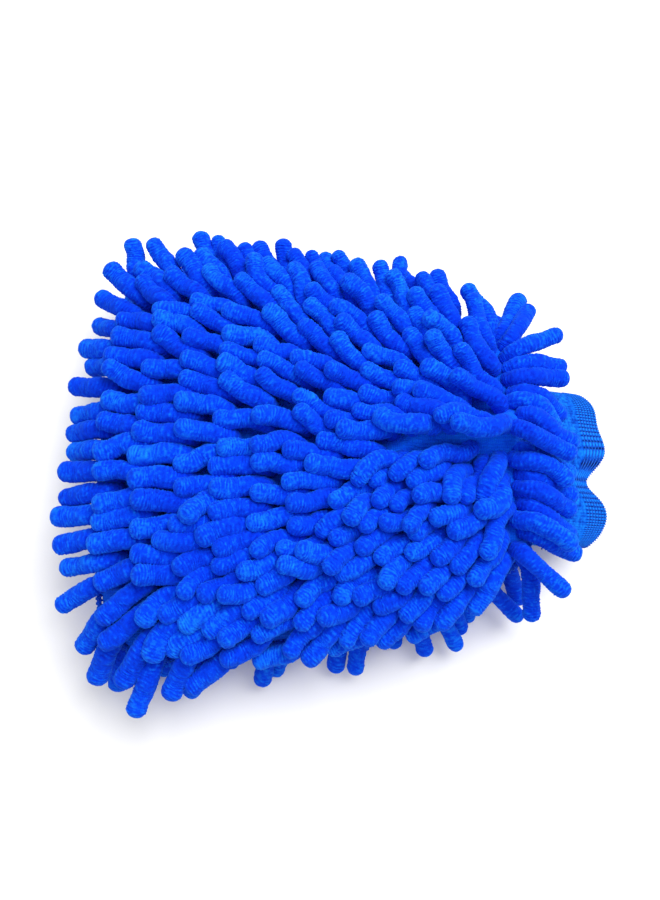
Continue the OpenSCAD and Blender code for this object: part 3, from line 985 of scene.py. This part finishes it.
def cuff_material():
    """The cuff's ribs and crinkles, with a little painted shade in its rib grooves and, in its shirred end,
    painted shade in the grooves between its puffs.
    """
    mat, nt, bsdf = new_material("cuff_knit", sheen=0.25)
    obj = object_coords(nt)
    place = split(nt, uv_coords(nt))
    around = math_node(nt, "ABSOLUTE", math_node(nt, "SINE", times(nt, place["X"], math.pi * RIBS)))
    start = math_node(nt, "SUBTRACT", place["Y"], SHIRR_START * UV_PER_MM)
    rows = math_node(nt, "SINE", times(nt, start, math.pi / (SHIRR_PITCH * UV_PER_MM)))
    along = math_node(nt, "ABSOLUTE", rows)
    shirred = times(nt, start, 1 / UV_PER_MM, clamp=True)
    plain = math_node(nt, "SUBTRACT", 1.0, shirred)
    # painted shade: dark along the grooves of the shirred end, lighter on the tops of its puffs
    grid = times(nt, math_node(nt, "POWER", times(nt, around, along), 1.1), shirred)
    crinkle = noise(nt, scaled(nt, obj, (1.0, 0.55, 1.0)), 620.0, 2.0, 0.55)
    # in the plain part a little painted shade in the rib grooves, over the knit's own crinkled tone
    ribs = times(nt, weighted(nt, (around, 0.14), (crinkle, 0.9)), plain)
    # the same values serve as relief for the bump and as painted shade in the colour
    relief_and_painted_shade = plus(nt, grid, ribs)
    grain = noise(nt, obj, 900.0, 2.0, 0.6)
    tone = weighted(nt, (relief_and_painted_shade, 0.6), (grain, 0.4))
    # the darkest stop is the painted shade deep in the grooves
    stops = [(0.2, (0.0, 0.004, 0.06, 1)), (0.42, (0.0, 0.052, 0.47, 1)), (0.72, (0.005, 0.215, 0.85, 1))]
    nt.links.new(ramp(nt, tone, stops), bsdf.inputs["Base Color"])
    bump(nt, bsdf, plus(nt, grain, relief_and_painted_shade), 0.6, 0.0004)
    return mat


plain_end = np.linspace(-CUFF_INSIDE, SHIRR_START - 0.5, 22)
shirred_end = np.arange(SHIRR_START, CUFF_LENGTH - 0.3, SHIRR_PITCH / RIB_STEPS)
cuff_x = np.concatenate([plain_end, shirred_end, [CUFF_LENGTH]])[:, None]
cuff_v = (np.arange(RIBS * RIB_STEPS) / (RIBS * RIB_STEPS))[None, :]
outside = cuff_surface(cuff_x, cuff_v)
outside[..., 2] += cuff_puff(cuff_x, cuff_v) * np.sin(2 * np.pi * cuff_v).clip(-0.4, 0.4) / 0.4
inside = cuff_surface(cuff_x, cuff_v, CUFF_T)
cuff_uv = np.stack(np.broadcast_arrays(cuff_v, cuff_x * UV_PER_MM), -1)
outside, inside, cuff_uv = (grid[:, ::-1] for grid in (cuff_frame(outside), cuff_frame(inside), cuff_uv))
cuff = thick_sheet("cuff_knit_band", outside, inside, True, cuff_uv)
finish_piece(cuff, cuff_material(), ["cuff_band"])
blend_over_fold(cuff)

edge = cuff_frame(cuff_surface(CUFF_LENGTH, np.linspace(0, 1, 500, endpoint=False), CUFF_T / 2))
edging = overlock("cuff_mouth_overlock", edge, 0.7, 1.1, True)
finish_piece(edging, THREAD, ["cuff_edging"], "cuff")
side_line = cuff_frame(cuff_surface(np.linspace(11, 29, 60), 0.5, -0.8))
side_stitch = overlock("cuff_side_stitch", side_line, 0.8, 1.6)
finish_piece(side_stitch, THREAD, ["cuff_side_seam"], "cuff")

for i in range(ELASTIC_ROWS):
    out = SHIRR_START + SHIRR_PITCH * (i + 1)
    line = cuff_frame(cuff_surface(out, cuff_v[0], -0.1))
    piece = sweep(f"elastic_row_{i + 1}", line, 0.22, 6, closed=True)
    finish_piece(piece, ELASTIC, ["elastic_thread_rows"] if i == 0 else [], "cuff")

# ------------------------------------------------------------------ floor, lights, camera, in metres
FLOOR_HALF = 9.0
corners = [(x * FLOOR_HALF, y * FLOOR_HALF, 0) for x, y in ((-1, -1), (1, -1), (1, 1), (-1, 1))]
floor_mesh = bpy.data.meshes.new("floor")
floor_mesh.from_pydata(corners, [], [(0, 1, 2, 3)])
floor = link(bpy.data.objects.new("floor", floor_mesh))
floor_material = bpy.data.materials.new("floor")
floor_material.use_nodes = True
floor_bsdf = floor_material.node_tree.nodes["Principled BSDF"]
floor_bsdf.inputs["Base Color"].default_value = (0.93, 0.93, 0.92, 1)
floor_bsdf.inputs["Roughness"].default_value = 0.9
floor_bsdf.inputs["Specular IOR Level"].default_value = 0.1
floor.data.materials.append(floor_material)

world = bpy.context.scene.world or bpy.data.worlds.new("world")
bpy.context.scene.world = world
world.use_nodes = True
background = world.node_tree.nodes["Background"]
background.inputs["Color"].default_value = (1.0, 1.0, 1.0, 1)
background.inputs["Strength"].default_value = 0.66


def area_light(name, location, target, size, power):
    light = bpy.data.lights.new(name, "AREA")
    light.shape, light.size, light.energy = "DISK", size, power
    obj = link(bpy.data.objects.new(name, light))
    obj.location = location
    obj.rotation_euler = (Vector(target) - Vector(location)).to_track_quat("-Z", "Y").to_euler()


MITT_MIDDLE = (0, 0, 0.03)
area_light("key", (0.3, 0.3, 0.8), MITT_MIDDLE, 0.7, 8.5)
area_light("fill", (-0.5, -0.5, 0.6), MITT_MIDDLE, 0.9, 1.0)

CAMERA_DOWN = 74        # degrees that the camera looks down
camera_data = bpy.data.cameras.new("camera")
camera_data.lens, camera_data.sensor_width, camera_data.sensor_fit = 26.5, 36.0, "AUTO"
camera_data.clip_start = 0.01
camera = link(bpy.data.objects.new("camera", camera_data))
camera.location = (0.0, -0.0797, 0.3105)
camera.rotation_euler = (math.radians(90 - CAMERA_DOWN), 0, 0)
bpy.context.scene.camera = camera
bpy.context.scene.view_settings.view_transform = "Standard"
bpy.context.scene.view_settings.look = "None"
